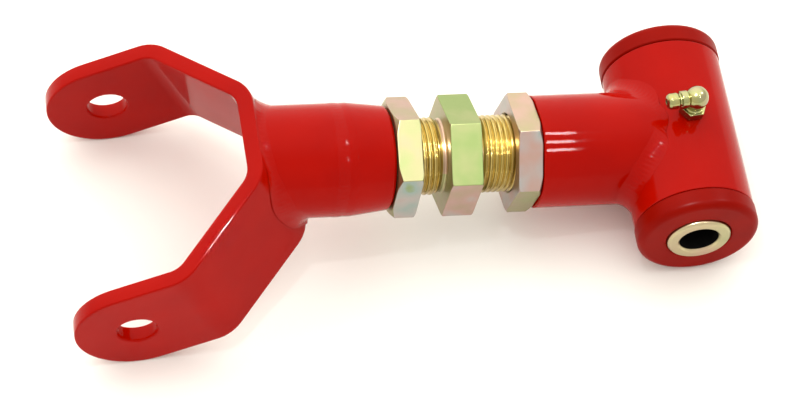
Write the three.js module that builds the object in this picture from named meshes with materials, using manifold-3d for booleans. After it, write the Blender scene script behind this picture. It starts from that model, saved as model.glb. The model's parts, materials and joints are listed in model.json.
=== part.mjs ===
// Adjustable upper control arm: a bent steel yoke and a bushing shell, each welded to a tube, joined by a
// double-threaded adjuster with two jam nuts. Millimetres, +Z up, the arm lies on z = 0.
// +X runs from the yoke to the bushing and Y runs along both bolt axes.
import * as THREE from "three";
import { mergeVertices } from "three/addons/utils/BufferGeometryUtils.js";
import Module from "manifold-3d";

const wasm = await Module();
wasm.setup();

// ---- driving dimensions ----------------------------------------------------------------------------------
const SEAT_GAP = 0.3; // between welded, pressed or seated faces
const RUNNING_GAP = 0.1; // radial, between pieces that turn or slide on each other

// bushing end
const SHELL_OD = 47.8;
const SHELL_WALL = 3.2;
const SHELL_LENGTH = 69.2;
const SHELL_CHAMFER = 0.6;
const FLANGE_OVERHANG = 0.3; // beyond the shell's outside
const FLANGE_THICKNESS = 8.5;
const FLANGE_EDGE_RADIUS = 3;
const HALVES_GAP = 1.5; // grease gap between the two bushing halves
const SLEEVE_OD = 25.3;
const SLEEVE_BORE = 15.6;
const SLEEVE_PROUD = 1.2; // beyond each flange's face
const SLEEVE_CHAMFER = 0.6;

// tubes, threads and hexagons
const TUBE_OD = 44.45;
const YOKE_TUBE_WALL = 3.05;
const THREAD_OD = 30.5;
const THREAD_CHAMFER = 1.6; // at the stud's two ends
const HEX_FLATS = 41.3; // across flats, adjuster and jam nuts alike
const ADJUSTER_HEX_WIDTH = 12.6;
const NUT_THICKNESS = 9.8;
const NUT_CHAMFER = 1.1;
const STUB_TUBE_REACH = 60.6; // from the bushing axis to the stub tube's free end
const RIGHT_THREAD_SHOWN = 14.4; // between the right jam nut and the adjuster's hexagon
const LEFT_THREAD_SHOWN = 11.2;
const STUD_ENGAGEMENT = 20; // thread inside each tube at rest
const RIGHT_NUT_TURN = -0.218; // where a corner stands, from +Z towards +Y
const ADJUSTER_TURN = -0.044;
const LEFT_NUT_TURN = 0.075;

// threaded bung welded into the yoke tube
const BUNG_HEAD_LENGTH = 21; // outside the tube, weld included
const BUNG_STRAIGHT = 5.5; // of that, at the tube's own diameter
const BUNG_NOSE_DROP = 2.275; // how far the nose draws in from the tube's outside
const BUNG_SPIGOT_LENGTH = 8;
const BUNG_WELD_WIDTH = 4;
const BUNG_WELD_CROWN = 0.5;

// yoke, bent from plate: u runs from its base to its ears, w across the strip
const YOKE_PLATE = 6.4;
const YOKE_WIDTH = 48.6;
const YOKE_BEND_RADIUS = 9; // inside
const YOKE_TILT = THREE.MathUtils.degToRad(28.7); // the ears droop below the tube's axis
const YOKE_RISE = 2.36; // strip's middle above the tube's axis, along w
const YOKE_BASE_HALF = 20.3; // outer corner of the base, from the middle
const EAR_OUTER_HALF = 54.7;
const EAR_CORNER_REACH = 36.6; // base's outer face to the ears' outer bend corner
const EAR_HOLE_REACH = 66.6; // base's outer face to the ear holes
const EAR_HOLE_DIAMETER = 16;
const YOKE_TUBE_REACH = 41.4; // on the axis, from the bung's free end to the yoke's outer face

// welds
const YOKE_WELD_RADIUS = 3.4;
const SHELL_WELD_RADIUS = 5;
const SHELL_WELD_SINK = 3.2; // at the top and underside, where the surfaces nearly run together

// right-angled grease fitting
const FITTING_Y = 1;
const FITTING_YAW = THREE.MathUtils.degToRad(7); // its nipple points to the yoke and a little to the front
const FITTING_HEX_FLATS = 9.5;
const FITTING_HEX_HEIGHT = 3.6;
const FITTING_THREAD_OD = 6.2;
const FITTING_NECK_OD = 7;
const FITTING_BALL_OD = 9.4;
const FITTING_BALL_HEIGHT = 8.8; // ball's centre above the hexagon's underside
const FITTING_PASSAGE = 3; // diameter of the grease passage
const FITTING_BALL_FLAT = 0.5; // how deep the ball is faced off where the nipple sits
const NIPPLE_REACH = 12.7; // from the fitting's axis to the nipple's tip
const NIPPLE_SPIGOT_OD = 4.4;
const NIPPLE_SPIGOT_LENGTH = 2; // inside the ball
const NIPPLE_COLLAR_OD = 7.2;
const NIPPLE_COLLAR_LENGTH = 2.5;
const NIPPLE_NECK_OD = 4.9;
const NIPPLE_NECK_LENGTH = 0.7;
const NIPPLE_HEAD_OD = 6.4;
const NIPPLE_HEAD_BACK = 0.8; // length of the head's back slope
const NIPPLE_NOSE_LENGTH = 1.4;
const NIPPLE_LIP = 0.6; // flat ring round the mouth
const NIPPLE_MOUTH = 1.6;
const NIPPLE_SEAT_LENGTH = 0.9; // cone between the passage and the mouth
const CHECK_BALL_OD = 2.4;
const CHECK_SPRING_OD = 2.6;
const CHECK_SPRING_WIRE = 0.36;
const CHECK_SPRING_TURNS = 5;

const ROUND_SEGMENTS = 48;
const SMALL_SEGMENTS = 16;

// ---- places worked out from those, along the tube's axis with the bushing axis at 0 ----------------------
const tubeRadius = TUBE_OD / 2;
const shellRadius = SHELL_OD / 2;
const threadRadius = THREAD_OD / 2;
const threadBore = threadRadius + RUNNING_GAP;
const sleeveRadius = SLEEVE_OD / 2;
const flangeRadius = shellRadius + FLANGE_OVERHANG;
const flangeFace = SHELL_LENGTH / 2 + FLANGE_THICKNESS;
const sleeveHalf = flangeFace + SLEEVE_PROUD;
const bungNose = tubeRadius - BUNG_NOSE_DROP;
const stubEnd = -STUB_TUBE_REACH;
const rightNutNear = stubEnd - SEAT_GAP;
const rightNutFar = rightNutNear - NUT_THICKNESS;
const hexRight = rightNutFar - RIGHT_THREAD_SHOWN;
const hexLeft = hexRight - ADJUSTER_HEX_WIDTH;
const leftNutNear = hexLeft - LEFT_THREAD_SHOWN;
const leftNutFar = leftNutNear - NUT_THICKNESS;
const bungEnd = leftNutFar - SEAT_GAP;
const bungShoulder = bungEnd - BUNG_HEAD_LENGTH;
const yokeBase = bungEnd - YOKE_TUBE_REACH; // where the yoke's outer face crosses the tube's axis
const studRight = stubEnd + STUD_ENGAGEMENT;
const studLeft = bungEnd - STUD_ENGAGEMENT;

// ---- helpers ---------------------------------------------------------------------------------------------
const { Manifold, Mesh: ManifoldMesh } = wasm;

/** A closed three.js geometry as a manifold-3d solid. */
function solid(geometry) {
  const bare = geometry.index ? geometry.toNonIndexed() : geometry.clone();
  bare.deleteAttribute("normal");
  bare.deleteAttribute("uv");
  const merged = mergeVertices(bare, 1e-4);
  return new Manifold(
    new ManifoldMesh({
      numProp: 3,
      vertProperties: new Float32Array(merged.attributes.position.array),
      triVerts: new Uint32Array(merged.index.array),
    }),
  );
}

/** A manifold-3d solid as a three.js geometry. */
function geometryOf(manifold) {
  const { numProp, numVert, vertProperties, triVerts } = manifold.getMesh();
  const positions = new Float32Array(numVert * 3);
  for (let i = 0; i < numVert; i++) {
    positions.set(vertProperties.subarray(i * numProp, i * numProp + 3), i * 3);
  }
  const geometry = new THREE.BufferGeometry();
  geometry.setAttribute("position", new THREE.BufferAttribute(positions, 3));
  geometry.setIndex(new THREE.BufferAttribute(new Uint32Array(triVerts), 1));
  return geometry;
}

/** Turns a [radius, along] profile about the Y axis; it runs upwards on its outside. */
function turned(profile, segments = ROUND_SEGMENTS) {
  const points = profile.map(([radius, along]) => new THREE.Vector2(radius, along));
  return new THREE.LatheGeometry(points, segments);
}

/** The same about the X axis, with along measured to +X. */
function turnedAlongX(profile, segments) {
  return turned(profile, segments).rotateZ(-Math.PI / 2);
}

/** The same about the Z axis, with along measured to +Z. */
function turnedAlongZ(profile, segments) {
  return turned(profile, segments).rotateX(Math.PI / 2);
}

/** A ring's closed profile: outer radius, inner radius, from, to, and a chamfer on its outer edges. */
function ringProfile(outer, inner, from, to, chamfer = 0) {
  return [
    [inner, from],
    [outer - chamfer, from],
    ...(chamfer ? [[outer, from + chamfer]] : []),
    ...(chamfer ? [[outer, to - chamfer]] : []),
    [outer - chamfer, to],
    [inner, to],
    [inner, from],
  ];
}

/** A round bar along X. */
function barX(radius, from, to, segments = ROUND_SEGMENTS) {
  return turnedAlongX([[0, from], [radius, from], [radius, to], [0, to]], segments);
}

/** A hexagonal bar along X, with one corner turned from +Z towards +Y. */
function hexBarX(flats, from, to, turn) {
  const corner = flats / Math.sqrt(3);
  const bar = new THREE.CylinderGeometry(corner, corner, to - from, 6);
  bar.rotateZ(-Math.PI / 2); // its corners now start at +Z
  bar.rotateX(-turn);
  return bar.translate((from + to) / 2, 0, 0);
}

/** Points of an arc of the given centre and radius, both ends included. */
function arcPoints(centre, radius, from, to, steps) {
  return Array.from({ length: steps + 1 }, (_, i) => {
    const angle = from + ((to - from) * i) / steps;
    return [centre[0] + radius * Math.cos(angle), centre[1] + radius * Math.sin(angle)];
  });
}

/** A polyline with each inner corner rounded to its radius. */
function roundCorners(corners, radius, steps = 8) {
  const rounded = [corners[0]];
  for (let i = 1; i < corners.length - 1; i++) {
    const here = new THREE.Vector2(...corners[i]);
    const back = new THREE.Vector2(...corners[i - 1]).sub(here).normalize();
    const ahead = new THREE.Vector2(...corners[i + 1]).sub(here).normalize();
    const half = Math.acos(back.dot(ahead)) / 2;
    const towards = back.clone().add(ahead).normalize();
    const centre = here.clone().addScaledVector(towards, radius / Math.sin(half));
    const start = here.clone().addScaledVector(back, radius / Math.tan(half)).sub(centre);
    const end = here.clone().addScaledVector(ahead, radius / Math.tan(half)).sub(centre);
    let sweep = end.angle() - start.angle();
    if (sweep > Math.PI) sweep -= 2 * Math.PI;
    if (sweep < -Math.PI) sweep += 2 * Math.PI;
    rounded.push(...arcPoints([centre.x, centre.y], radius, start.angle(), start.angle() + sweep, steps));
  }
  rounded.push(corners[corners.length - 1]);
  return rounded;
}

/** A bead of round section along the closed loop that point(angle) gives. */
function bead(point, radius, steps = 48, sides = 10) {
  const section = new THREE.Shape(arcPoints([0, 0], radius, 0, 2 * Math.PI, sides)
    .slice(0, -1)
    .map(([x, y]) => new THREE.Vector2(x, y)));
  const overlap = 0.05;
  const halves = [0, Math.PI].map((start) => {
    const path = new THREE.CatmullRomCurve3(Array.from({ length: steps / 2 + 1 }, (_, i) => {
      const share = i / (steps / 2);
      return point(start - overlap + share * (Math.PI + 2 * overlap));
    }));
    return solid(new THREE.ExtrudeGeometry(section, { steps: steps / 2, extrudePath: path }));
  });
  return halves[0].add(halves[1]);
}

// ---- materials -------------------------------------------------------------------------------------------
const redPowderCoat = new THREE.MeshStandardMaterial({ color: 0xc81e0a, roughness: 0.3 });
const redUrethane = new THREE.MeshStandardMaterial({ color: 0xa8200e, roughness: 0.45 });
const yellowZinc = new THREE.MeshStandardMaterial({ color: 0xcfc58a, roughness: 0.3, metalness: 0.9 });
const goldZinc = new THREE.MeshStandardMaterial({ color: 0xb08a3c, roughness: 0.25, metalness: 1 });
const steel = new THREE.MeshStandardMaterial({ color: 0xb9bcc0, roughness: 0.25, metalness: 1 });

const arm = new THREE.Group();

function add(name, geometry, material) {
  const mesh = new THREE.Mesh(geometry, material);
  mesh.name = name;
  arm.add(mesh);
  return mesh;
}

// ---- yoke ------------------------------------------------------------------------------------------------
/** Puts a geometry built with u, Y and w as its x, y and z where the yoke stands on the tube. */
function onYoke(geometry) {
  const along = new THREE.Vector3(-Math.cos(YOKE_TILT), 0, -Math.sin(YOKE_TILT));
  const across = new THREE.Vector3(-Math.sin(YOKE_TILT), 0, Math.cos(YOKE_TILT));
  const sideways = new THREE.Vector3().crossVectors(across, along);
  return geometry.applyMatrix4(
    new THREE.Matrix4().makeBasis(along, sideways, across).setPosition(yokeBase, 0, 0),
  );
}

/** The strip's bent outline, seen across its width, from one ear's end to the other's. */
function yokeOutline() {
  const flank = new THREE.Vector2(EAR_CORNER_REACH, EAR_OUTER_HALF - YOKE_BASE_HALF).normalize();
  const earEnd = EAR_HOLE_REACH + YOKE_WIDTH; // trimmed round later
  const outer = [[earEnd, EAR_OUTER_HALF], [EAR_CORNER_REACH, EAR_OUTER_HALF], [0, YOKE_BASE_HALF]];
  // each inner corner lies where the two faces, moved in by the plate, meet
  const flankAngle = Math.atan2(flank.y, flank.x);
  const earMitre = YOKE_PLATE * Math.tan(flankAngle / 2);
  const baseMitre = YOKE_PLATE * Math.tan((Math.PI / 2 - flankAngle) / 2);
  const inner = [
    [earEnd, EAR_OUTER_HALF - YOKE_PLATE],
    [EAR_CORNER_REACH + earMitre, EAR_OUTER_HALF - YOKE_PLATE],
    [YOKE_PLATE, YOKE_BASE_HALF - baseMitre],
  ];
  const mirrored = (points) => [...points].reverse().map(([u, y]) => [u, -y]);
  const outerPath = roundCorners([...outer, ...mirrored(outer)], YOKE_BEND_RADIUS + YOKE_PLATE);
  const innerPath = roundCorners([...inner, ...mirrored(inner)], YOKE_BEND_RADIUS);
  return [...outerPath, ...innerPath.reverse()];
}

function yokePlate() {
  const outline = new THREE.Shape(yokeOutline().map(([u, y]) => new THREE.Vector2(u, y)));
  const strip = new THREE.ExtrudeGeometry(outline, { depth: YOKE_WIDTH, bevelEnabled: false });
  strip.translate(0, 0, YOKE_RISE - YOKE_WIDTH / 2);
  // side view: a strip with full round ends about the ear holes, less the holes
  const side = new THREE.Shape();
  const before = -2 * YOKE_PLATE;
  side.moveTo(before, -YOKE_WIDTH / 2);
  side.lineTo(EAR_HOLE_REACH, -YOKE_WIDTH / 2);
  side.absarc(EAR_HOLE_REACH, 0, YOKE_WIDTH / 2, -Math.PI / 2, Math.PI / 2, false);
  side.lineTo(before, YOKE_WIDTH / 2);
  side.closePath();
  const hole = new THREE.Path();
  hole.absarc(EAR_HOLE_REACH, 0, EAR_HOLE_DIAMETER / 2, 0, 2 * Math.PI, true);
  side.holes.push(hole);
  const reach = EAR_OUTER_HALF + YOKE_PLATE;
  const sideCut = new THREE.ExtrudeGeometry(side, {
    depth: 2 * reach,
    bevelEnabled: false,
    curveSegments: ROUND_SEGMENTS / 2,
  });
  sideCut.rotateX(Math.PI / 2).translate(0, reach, YOKE_RISE);
  return onYoke(geometryOf(solid(strip).intersect(solid(sideCut))));
}

/** Everything on the ears' side of the yoke's outer face, moved towards the tube by a gap. */
function yokeHalfSpace(gap) {
  const size = 4 * YOKE_WIDTH;
  return solid(onYoke(new THREE.BoxGeometry(size, size, size).translate(size / 2 - gap, 0, 0)));
}

/** A point of the curve where the yoke tube's outside meets the yoke's outer face. */
function yokeJoint(angle) {
  const z = tubeRadius * Math.sin(angle);
  return new THREE.Vector3(yokeBase - z * Math.tan(YOKE_TILT), tubeRadius * Math.cos(angle), z);
}

const farPast = 2 * YOKE_WIDTH;
const weldFace = bungShoulder; // tube's end at the bung's weld
const weldLand = BUNG_WELD_WIDTH / 2;

add("yoke_plate", yokePlate(), redPowderCoat);

const tubeBlank = turnedAlongX([
  [tubeRadius - YOKE_TUBE_WALL, yokeBase - farPast],
  [tubeRadius, yokeBase - farPast],
  [tubeRadius, weldFace - weldLand],
  [tubeRadius - weldLand, weldFace - SEAT_GAP],
  [tubeRadius - YOKE_TUBE_WALL, weldFace - SEAT_GAP],
  [tubeRadius - YOKE_TUBE_WALL, yokeBase - farPast],
]);
add("yoke_tube", geometryOf(solid(tubeBlank).subtract(yokeHalfSpace(SEAT_GAP))), redPowderCoat);

const yokeBead = bead(yokeJoint, YOKE_WELD_RADIUS)
  .subtract(solid(barX(tubeRadius + SEAT_GAP, yokeBase - farPast, stubEnd)))
  .subtract(yokeHalfSpace(SEAT_GAP));
add("yoke_weld", geometryOf(yokeBead), redPowderCoat);

// ---- threaded bung and its weld --------------------------------------------------------------------------
const spigotRadius = tubeRadius - YOKE_TUBE_WALL - SEAT_GAP;
add("threaded_bung", turnedAlongX([
  [threadBore, weldFace - BUNG_SPIGOT_LENGTH],
  [spigotRadius, weldFace - BUNG_SPIGOT_LENGTH],
  [spigotRadius, weldFace],
  [tubeRadius - weldLand, weldFace],
  [tubeRadius, weldFace + weldLand],
  [tubeRadius, weldFace + BUNG_STRAIGHT],
  [bungNose + NUT_CHAMFER / 2, bungEnd - NUT_CHAMFER],
  [bungNose - NUT_CHAMFER / 2, bungEnd],
  [threadBore, bungEnd],
  [threadBore, weldFace - BUNG_SPIGOT_LENGTH],
]), redPowderCoat);

const weldMid = weldFace - SEAT_GAP / 2;
const weldReach = weldLand - SEAT_GAP;
add("bung_weld", turnedAlongX([
  [tubeRadius - weldLand + 2 * SEAT_GAP, weldMid],
  [tubeRadius + SEAT_GAP, weldMid - weldReach],
  [tubeRadius + BUNG_WELD_CROWN, weldMid - weldReach / 2],
  [tubeRadius + BUNG_WELD_CROWN, weldMid + weldReach / 2],
  [tubeRadius + SEAT_GAP, weldMid + weldReach],
  [tubeRadius - weldLand + 2 * SEAT_GAP, weldMid],
]), redPowderCoat);

// ---- adjuster and jam nuts -------------------------------------------------------------------------------
/** Hexagon with its end corners turned down, and a plain bore over the thread. */
function jamNut(from, to, turn) {
  const corner = HEX_FLATS / Math.sqrt(3);
  const chamfer = turnedAlongX([
    [0, from],
    [corner - 2 * NUT_CHAMFER, from],
    [corner + NUT_CHAMFER, from + NUT_CHAMFER * Math.sqrt(3)],
    [corner + NUT_CHAMFER, to - NUT_CHAMFER * Math.sqrt(3)],
    [corner - 2 * NUT_CHAMFER, to],
    [0, to],
  ]);
  const hexagon = hexBarX(HEX_FLATS, from, to, turn);
  const bore = barX(threadBore, from - NUT_THICKNESS, to + NUT_THICKNESS);
  return geometryOf(solid(hexagon).intersect(solid(chamfer)).subtract(solid(bore)));
}

const stud = turnedAlongX([
  [0, studLeft],
  [threadRadius - THREAD_CHAMFER, studLeft],
  [threadRadius, studLeft + THREAD_CHAMFER],
  [threadRadius, studRight - THREAD_CHAMFER],
  [threadRadius - THREAD_CHAMFER, studRight],
  [0, studRight],
]);
const adjusterHex = hexBarX(HEX_FLATS, hexLeft, hexRight, ADJUSTER_TURN);
add("adjuster_stud", geometryOf(solid(adjusterHex).add(solid(stud))), goldZinc);
add("left_jam_nut", jamNut(leftNutFar, leftNutNear, LEFT_NUT_TURN), yellowZinc);
add("right_jam_nut", jamNut(rightNutFar, rightNutNear, RIGHT_NUT_TURN), yellowZinc);

// ---- stub tube and bushing shell -------------------------------------------------------------------------
const shellBar = (radius, length) => solid(turned([
  [0, -length / 2],
  [radius, -length / 2],
  [radius, length / 2],
  [0, length / 2],
]));
const shellSpace = shellBar(shellRadius + SEAT_GAP, 2 * SHELL_LENGTH);
const fittingCorner = FITTING_HEX_FLATS / Math.sqrt(3);
const fittingSpace = solid(turnedAlongZ([
  [0, 0],
  [fittingCorner + SEAT_GAP, 0],
  [fittingCorner + SEAT_GAP, 2 * (shellRadius + tubeRadius)],
  [0, 2 * (shellRadius + tubeRadius)],
]).translate(0, FITTING_Y, 0));
const stubBlank = turnedAlongX(ringProfile(tubeRadius, threadBore, stubEnd, 0));
add("stub_tube", geometryOf(solid(stubBlank).subtract(shellSpace).subtract(fittingSpace)), redPowderCoat);

/** A point under the stub tube's curve on the shell, sunk where their surfaces nearly run together. */
function shellJoint(angle) {
  const z = tubeRadius * Math.sin(angle);
  const x = -Math.sqrt(Math.max(0, shellRadius ** 2 - z ** 2)); // a wider tube meets over the shell's middle
  const sink = SHELL_WELD_SINK * Math.sin(angle) ** 2;
  const radial = 1 - sink / shellRadius;
  return new THREE.Vector3(x * radial, tubeRadius * Math.cos(angle), z * radial);
}
const shellBead = bead(shellJoint, SHELL_WELD_RADIUS, 56)
  .subtract(solid(barX(tubeRadius + SEAT_GAP, yokeBase, shellRadius)))
  .subtract(shellSpace)
  .subtract(fittingSpace);
add("shell_weld", geometryOf(shellBead), redPowderCoat);

const fittingSeat = shellRadius + SEAT_GAP;
const tappedHole = solid(turnedAlongZ([
  [0, 0],
  [FITTING_THREAD_OD / 2 + SEAT_GAP, 0],
  [FITTING_THREAD_OD / 2 + SEAT_GAP, 2 * shellRadius],
  [0, 2 * shellRadius],
], SMALL_SEGMENTS).translate(0, FITTING_Y, 0));
const shellBlank = turned(
  ringProfile(shellRadius, shellRadius - SHELL_WALL, -SHELL_LENGTH / 2, SHELL_LENGTH / 2, SHELL_CHAMFER),
);
add("bushing_shell", geometryOf(solid(shellBlank).subtract(tappedHole)), redPowderCoat);

// ---- bushing halves and inner sleeve ---------------------------------------------------------------------
function bushingHalf(side) {
  const bore = sleeveRadius + RUNNING_GAP;
  const barrel = shellRadius - SHELL_WALL - SEAT_GAP;
  const seat = SHELL_LENGTH / 2 + SEAT_GAP;
  const edgeCentre = [flangeRadius - FLANGE_EDGE_RADIUS, flangeFace - FLANGE_EDGE_RADIUS];
  const half = turned([
    [bore, HALVES_GAP / 2],
    [barrel, HALVES_GAP / 2],
    [barrel, seat],
    [flangeRadius, seat],
    ...arcPoints(edgeCentre, FLANGE_EDGE_RADIUS, 0, Math.PI / 2, 4),
    [bore, flangeFace],
    [bore, HALVES_GAP / 2],
  ]);
  return side > 0 ? half : half.rotateX(Math.PI);
}
add("front_bushing_half", bushingHalf(-1), redUrethane);
add("rear_bushing_half", bushingHalf(1), redUrethane);

add("inner_sleeve", turned(ringProfile(
  sleeveRadius,
  SLEEVE_BORE / 2,
  -sleeveHalf,
  sleeveHalf,
  SLEEVE_CHAMFER,
)), yellowZinc);

// ---- grease fitting, built with its nipple along -X about the fitting's own axis -------------------------
const fitting = new THREE.Group();
fitting.position.set(0, FITTING_Y, fittingSeat);
fitting.rotation.z = FITTING_YAW;
arm.add(fitting);

function addToFitting(name, geometry, material) {
  fitting.add(add(name, geometry, material));
}

const passage = FITTING_PASSAGE / 2;
const ballFlat = FITTING_BALL_OD / 2 - FITTING_BALL_FLAT; // from the fitting's axis, as all of these are
const collarStart = ballFlat + SEAT_GAP;
const spigotStart = collarStart - NIPPLE_SPIGOT_LENGTH;
const fittingHex = new THREE.CylinderGeometry(
  fittingCorner,
  fittingCorner,
  FITTING_HEX_HEIGHT,
  6,
).rotateX(Math.PI / 2).translate(0, 0, FITTING_HEX_HEIGHT / 2);
const fittingStem = turnedAlongZ([
  [0, -SHELL_WALL],
  [FITTING_THREAD_OD / 2, -SHELL_WALL],
  [FITTING_THREAD_OD / 2, FITTING_HEX_HEIGHT / 2],
  [FITTING_NECK_OD / 2, FITTING_HEX_HEIGHT / 2],
  [FITTING_NECK_OD / 2, FITTING_BALL_HEIGHT],
  [0, FITTING_BALL_HEIGHT],
], SMALL_SEGMENTS);
const fittingBall = new THREE.SphereGeometry(FITTING_BALL_OD / 2, SMALL_SEGMENTS, SMALL_SEGMENTS / 2)
  .translate(0, 0, FITTING_BALL_HEIGHT);
const riser = turnedAlongZ([
  [0, -2 * SHELL_WALL],
  [passage, -2 * SHELL_WALL],
  [passage, FITTING_BALL_HEIGHT],
  [0, FITTING_BALL_HEIGHT],
], SMALL_SEGMENTS);
const socket = turnedAlongX([
  [0, -FITTING_BALL_OD],
  [FITTING_BALL_OD, -FITTING_BALL_OD],
  [FITTING_BALL_OD, -ballFlat],
  [NIPPLE_SPIGOT_OD / 2 + SEAT_GAP, -ballFlat],
  [NIPPLE_SPIGOT_OD / 2 + SEAT_GAP, -spigotStart + SEAT_GAP],
  [passage, -spigotStart + SEAT_GAP],
  [passage, 0],
  [0, 0],
], SMALL_SEGMENTS).translate(0, 0, FITTING_BALL_HEIGHT);
const fittingSolid = solid(fittingHex).add(solid(fittingStem)).add(solid(fittingBall));
addToFitting(
  "grease_fitting_body",
  geometryOf(fittingSolid.subtract(solid(riser)).subtract(solid(socket))),
  yellowZinc,
);

// nipple: [radius, reach from the fitting's axis], turned so that its reach runs to -X
const collarEnd = collarStart + NIPPLE_COLLAR_LENGTH;
const headStart = collarEnd + NIPPLE_NECK_LENGTH;
const noseStart = NIPPLE_REACH - NIPPLE_NOSE_LENGTH;
const mouthStart = NIPPLE_REACH - NIPPLE_LIP;
const seatStart = mouthStart - NIPPLE_SEAT_LENGTH; // where the passage starts to narrow to the mouth
const nippleProfile = [
  [passage, spigotStart],
  [NIPPLE_SPIGOT_OD / 2, spigotStart],
  [NIPPLE_SPIGOT_OD / 2, collarStart],
  [NIPPLE_COLLAR_OD / 2, collarStart],
  [NIPPLE_COLLAR_OD / 2, collarEnd],
  [NIPPLE_NECK_OD / 2, collarEnd],
  [NIPPLE_NECK_OD / 2, headStart],
  [NIPPLE_HEAD_OD / 2, headStart + NIPPLE_HEAD_BACK],
  [NIPPLE_HEAD_OD / 2, noseStart],
  [NIPPLE_MOUTH / 2 + NIPPLE_LIP, NIPPLE_REACH],
  [NIPPLE_MOUTH / 2, NIPPLE_REACH],
  [NIPPLE_MOUTH / 2, mouthStart],
  [passage, seatStart],
  [passage, spigotStart],
];
const onNipple = (geometry) => geometry.rotateY(Math.PI).translate(0, 0, FITTING_BALL_HEIGHT);
addToFitting("grease_nipple", onNipple(turnedAlongX(nippleProfile, SMALL_SEGMENTS)), yellowZinc);

const BALL_SEAT_CLEARANCE = 0.5; // its centre stands this far below the start of the seat's cone
const checkBallAt = seatStart - BALL_SEAT_CLEARANCE;
const checkBall = new THREE.SphereGeometry(CHECK_BALL_OD / 2, SMALL_SEGMENTS, SMALL_SEGMENTS / 2);
addToFitting("grease_check_ball", onNipple(checkBall.translate(checkBallAt, 0, 0)), steel);

const springFrom = spigotStart + SEAT_GAP;
const springTo = checkBallAt - CHECK_BALL_OD / 2 - CHECK_SPRING_WIRE;
const coilRadius = (CHECK_SPRING_OD - CHECK_SPRING_WIRE) / 2;
const STEPS_PER_TURN = 10;
const coilSteps = CHECK_SPRING_TURNS * STEPS_PER_TURN;
const coilPoints = Array.from({ length: coilSteps + 1 }, (_, i) => {
  const angle = ((2 * Math.PI * i) / coilSteps) * CHECK_SPRING_TURNS;
  const along = springFrom + ((springTo - springFrom) * i) / coilSteps;
  return new THREE.Vector3(along, coilRadius * Math.cos(angle), coilRadius * Math.sin(angle));
});
const WIRE_SIDES = 5;
const wireSection = new THREE.Shape(arcPoints([0, 0], CHECK_SPRING_WIRE / 2, 0, 2 * Math.PI, WIRE_SIDES)
  .slice(0, -1)
  .map(([x, y]) => new THREE.Vector2(x, y)));
addToFitting("grease_check_spring", onNipple(new THREE.ExtrudeGeometry(wireSection, {
  steps: coilSteps,
  extrudePath: new THREE.CatmullRomCurve3(coilPoints),
})), steel);

// ---- lay the arm down on its ears and its shell ----------------------------------------------------------
const earRadius = YOKE_WIDTH / 2;
const holeX = yokeBase - EAR_HOLE_REACH * Math.cos(YOKE_TILT) - YOKE_RISE * Math.sin(YOKE_TILT);
const holeZ = -EAR_HOLE_REACH * Math.sin(YOKE_TILT) + YOKE_RISE * Math.cos(YOKE_TILT);
const span = Math.hypot(holeX, holeZ); // ear-hole axis to bushing axis
const pitch = Math.atan2(-holeZ, -holeX) + Math.asin((earRadius - flangeRadius) / span);
const laidHoleX = holeX * Math.cos(pitch) + holeZ * Math.sin(pitch);
arm.rotation.y = pitch;
arm.position.set(-(laidHoleX - earRadius + flangeRadius) / 2, 0, flangeRadius);

const part = new THREE.Group();
part.add(arm);
export default part;
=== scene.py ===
"""A red adjustable control arm, lying on its yoke's two ears and on its bushing end.

Shapes are worked out in millimetres in the arm's own axes: X along the tube from the yoke to the bushing,
Y along both bolts, Z up. The frame gives where those axes lie, and where each piece starts and ends.
"""
import json
from math import asin, atan, atan2, copysign, cos, inf, pi, radians, sin, sqrt, tan

import bmesh
import bpy
from mathutils import Matrix, Vector, noise


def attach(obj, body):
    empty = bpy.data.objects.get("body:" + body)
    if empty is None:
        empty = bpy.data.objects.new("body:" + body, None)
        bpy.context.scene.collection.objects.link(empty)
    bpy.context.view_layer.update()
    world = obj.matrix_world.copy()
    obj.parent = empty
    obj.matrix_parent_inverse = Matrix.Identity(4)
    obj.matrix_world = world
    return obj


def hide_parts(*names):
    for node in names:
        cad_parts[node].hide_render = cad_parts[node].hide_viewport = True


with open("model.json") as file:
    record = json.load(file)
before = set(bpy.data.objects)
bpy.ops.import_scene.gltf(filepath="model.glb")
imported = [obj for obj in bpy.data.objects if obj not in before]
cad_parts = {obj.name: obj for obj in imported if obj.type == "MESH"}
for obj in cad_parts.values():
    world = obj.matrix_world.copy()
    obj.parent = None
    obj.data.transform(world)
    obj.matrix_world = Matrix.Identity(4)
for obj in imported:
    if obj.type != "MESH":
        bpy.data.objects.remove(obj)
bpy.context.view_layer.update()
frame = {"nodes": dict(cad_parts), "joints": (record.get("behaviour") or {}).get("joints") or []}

MM = 0.001
TURN = 2 * pi
FINE = 96  # steps round a tube
SMALL = 48  # steps round a small turned piece
MERGE = 1e-4  # mm, points closer than this are one
SMOOTH_ANGLE = radians(32)  # sharper edges than this stay crisp

# ---- the arm's own axes ------------------------------------------------------------------------------------
joints = {joint["name"]: joint for joint in frame["joints"]}
outboard = Vector(joints["adjuster_turn"]["axis"]).normalized()  # from the bushing to the yoke
bolt_axis = Vector(joints["sleeve_pivot"]["axis"]).normalized()
bushing_centre = Vector(joints["sleeve_pivot"]["pos_m"])
arm_axes = Matrix((-outboard, bolt_axis, (-outboard).cross(bolt_axis))).transposed().to_4x4()
ARM = Matrix.Translation(bushing_centre) @ arm_axes @ Matrix.Scale(MM, 4)
FROM_ROW = ARM.inverted()


def extent(node):
    """A CAD node's lowest and highest corner in the arm's own axes, in millimetres."""
    points = [FROM_ROW @ vertex.co for vertex in frame["nodes"][node].data.vertices]
    return tuple(Vector(pick(point[axis] for point in points) for axis in range(3)) for pick in (min, max))


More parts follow.
